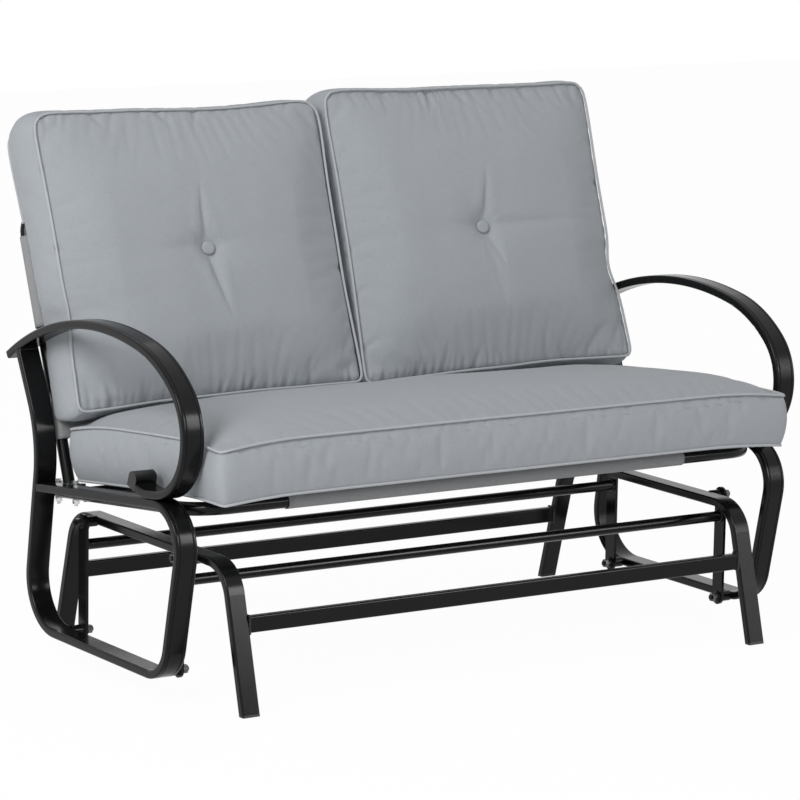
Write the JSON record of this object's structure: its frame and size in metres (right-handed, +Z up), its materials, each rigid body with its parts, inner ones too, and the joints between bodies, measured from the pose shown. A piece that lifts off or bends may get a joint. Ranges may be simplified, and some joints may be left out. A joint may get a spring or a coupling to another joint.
{
  "type": "glider loveseat",
  "caption": "Two-seat porch glider: cushioned seat and back on bent side frames, hung by swing links from a tube base, gliding to and fro.",
  "frame": {"origin": "on the floor under the middle of the bounding box, at rest", "axes": "+X across the seat, to the right seen from the front; -Y to the front; +Z up"},
  "size_m": [1.2, 0.7158, 0.8916],
  "materials": {
    "frame_black": "satin black powder coat",
    "zinc_steel": "bright zinc plate",
    "plug_plastic": "moulded, fine texture",
    "bush_nylon": "moulded nylon",
    "sling_fabric": "open woven mesh",
    "cushion_fabric": "plain woven polyester, piped edges"
  },
  "bodies": {
    "base": {"base_left_hoop": "frame_black", "base_right_hoop": "frame_black", "front_stretcher": "frame_black", "rear_stretcher": "frame_black", "foot_plugs": "plug_plastic", "upper_pivot_studs": "zinc_steel", "upper_pivot_washers": "zinc_steel", "upper_pivot_locknuts": "zinc_steel"},
    "front_swing": {"front_left_hanger": "frame_black", "front_right_hanger": "frame_black", "front_cross_tube": "frame_black", "front_hanger_bushes": "bush_nylon"},
    "rear_swing": {"rear_left_hanger": "frame_black", "rear_right_hanger": "frame_black", "rear_cross_tube": "frame_black", "rear_hanger_bushes": "bush_nylon"},
    "seat": {"left_side_frame": "frame_black", "right_side_frame": "frame_black", "left_arm": "frame_black", "right_arm": "frame_black", "arm_rear_caps": "plug_plastic", "arm_front_caps": "plug_plastic", "seat_frame": "frame_black", "seat_rear_bar": "frame_black", "seat_frame_plugs": "plug_plastic", "seat_sling": "sling_fabric", "back_frame": "frame_black", "back_sling": "sling_fabric", "left_back_bracket": "frame_black", "right_back_bracket": "frame_black", "bracket_bolts": "zinc_steel", "bracket_washers": "zinc_steel", "bracket_nuts": "zinc_steel", "lower_pivot_studs": "zinc_steel", "lower_pivot_washers": "zinc_steel", "lower_pivot_locknuts": "zinc_steel", "seat_cushion": "cushion_fabric", "left_back_cushion": "cushion_fabric", "right_back_cushion": "cushion_fabric", "cushion_buttons": "cushion_fabric"}
  },
  "joints": [
    {"name": "glide", "type": "hinge", "parent": "base", "child": "front_swing", "pos_m": [0, -0.19663, 0.228], "axis": [1, 0, 0], "range_deg": [-14, 14]},
    {"name": "rear_link_swing", "type": "hinge", "parent": "base", "child": "rear_swing", "pos_m": [0, 0.11737, 0.228], "axis": [1, 0, 0], "range_deg": [-14, 14]},
    {"name": "seat_level", "type": "hinge", "parent": "front_swing", "child": "seat", "pos_m": [0, -0.19663, 0.047], "axis": [1, 0, 0], "range_deg": [-14, 14]}
  ],
  "couplings": [
    {"joint": "rear_link_swing", "follows": "glide", "ratio": 1},
    {"joint": "seat_level", "follows": "glide", "ratio": -1}
  ]
}
